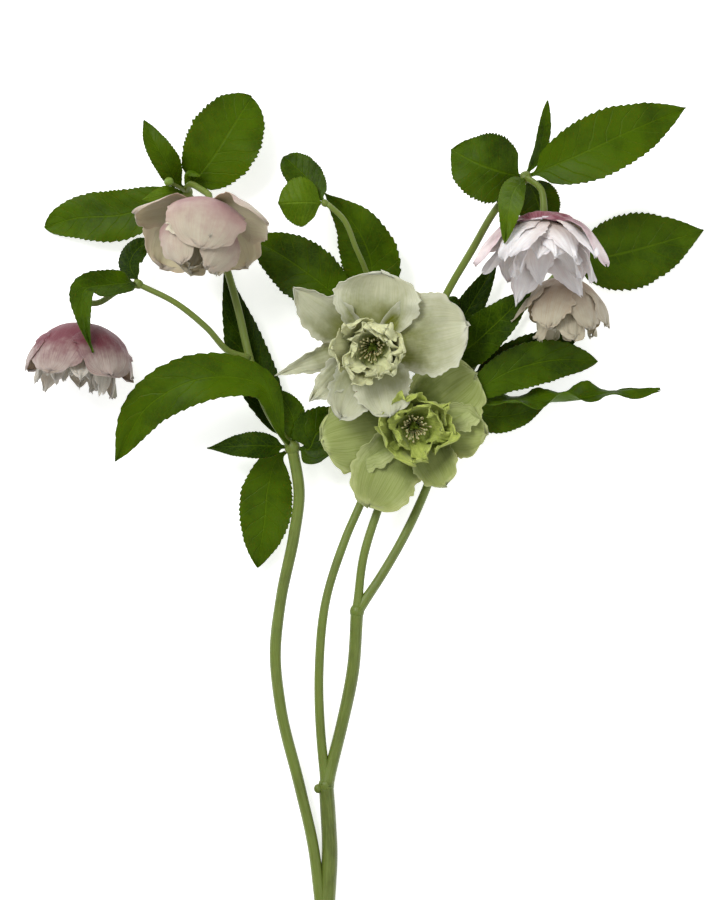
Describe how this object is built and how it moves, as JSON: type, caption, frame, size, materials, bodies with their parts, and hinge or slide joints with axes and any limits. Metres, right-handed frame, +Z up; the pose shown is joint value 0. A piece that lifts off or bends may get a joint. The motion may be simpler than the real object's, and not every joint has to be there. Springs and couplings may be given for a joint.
{
  "type": "flower",
  "caption": "Cut branching spray of double hellebore blooms with toothed green leaves, lying on its back",
  "frame": {"origin": "middle of the bounding box in X and Y, at the surface that the spray lies on", "axes": "+X to the right across the spray, +Y up the stem from its cut end to the blooms, +Z up off the surface"},
  "size_m": [0.3052, 0.3872, 0.083],
  "materials": {
    "stem": "satin",
    "leaf": "satin",
    "young_leaf": "satin",
    "rose_petal": "matte",
    "blush_petal": "matte",
    "cream_petal": "matte",
    "lime_petal": "matte",
    "shell_petal": "matte",
    "boss": "matte"
  },
  "bodies": {
    "root": {"stem": "stem", "leaf_blush_bract": "young_leaf", "leaf_blush_bract_curl": "young_leaf", "leaf_blush_side": "leaf", "leaf_blush_small": "leaf", "leaf_blush_tall": "leaf", "leaf_bud_back": "leaf", "leaf_bud_front": "young_leaf", "leaf_cream_left": "leaf", "leaf_cream_tall": "leaf", "leaf_left_fore": "leaf", "leaf_left_hanging": "leaf", "leaf_left_large": "leaf", "leaf_left_low": "leaf", "leaf_left_sheath": "leaf", "leaf_left_upright": "leaf", "leaf_low_right_back": "leaf", "leaf_low_right_broad": "leaf", "leaf_low_right_narrow": "leaf", "leaf_low_right_under": "leaf", "leaf_middle_dark": "leaf", "leaf_middle_long": "leaf", "leaf_middle_round": "leaf", "leaf_right_fore": "young_leaf", "leaf_right_hanging": "leaf", "leaf_right_long": "leaf", "leaf_right_low": "leaf", "leaf_right_narrow": "leaf", "leaf_right_round": "leaf", "leaf_rose_back": "leaf", "leaf_rose_bent": "leaf", "bud_small": "young_leaf", "bloom_rose_petals": "rose_petal", "bloom_rose_boss": "boss", "bloom_blush_petals": "blush_petal", "bloom_blush_boss": "boss", "bloom_cream_petals": "cream_petal", "bloom_cream_boss": "boss", "bloom_lime_petals": "lime_petal", "bloom_lime_boss": "boss", "bloom_pearl_petals": "blush_petal", "bloom_pearl_boss": "boss", "bloom_shell_petals": "shell_petal", "bloom_shell_boss": "boss"}
  },
  "joints": []
}
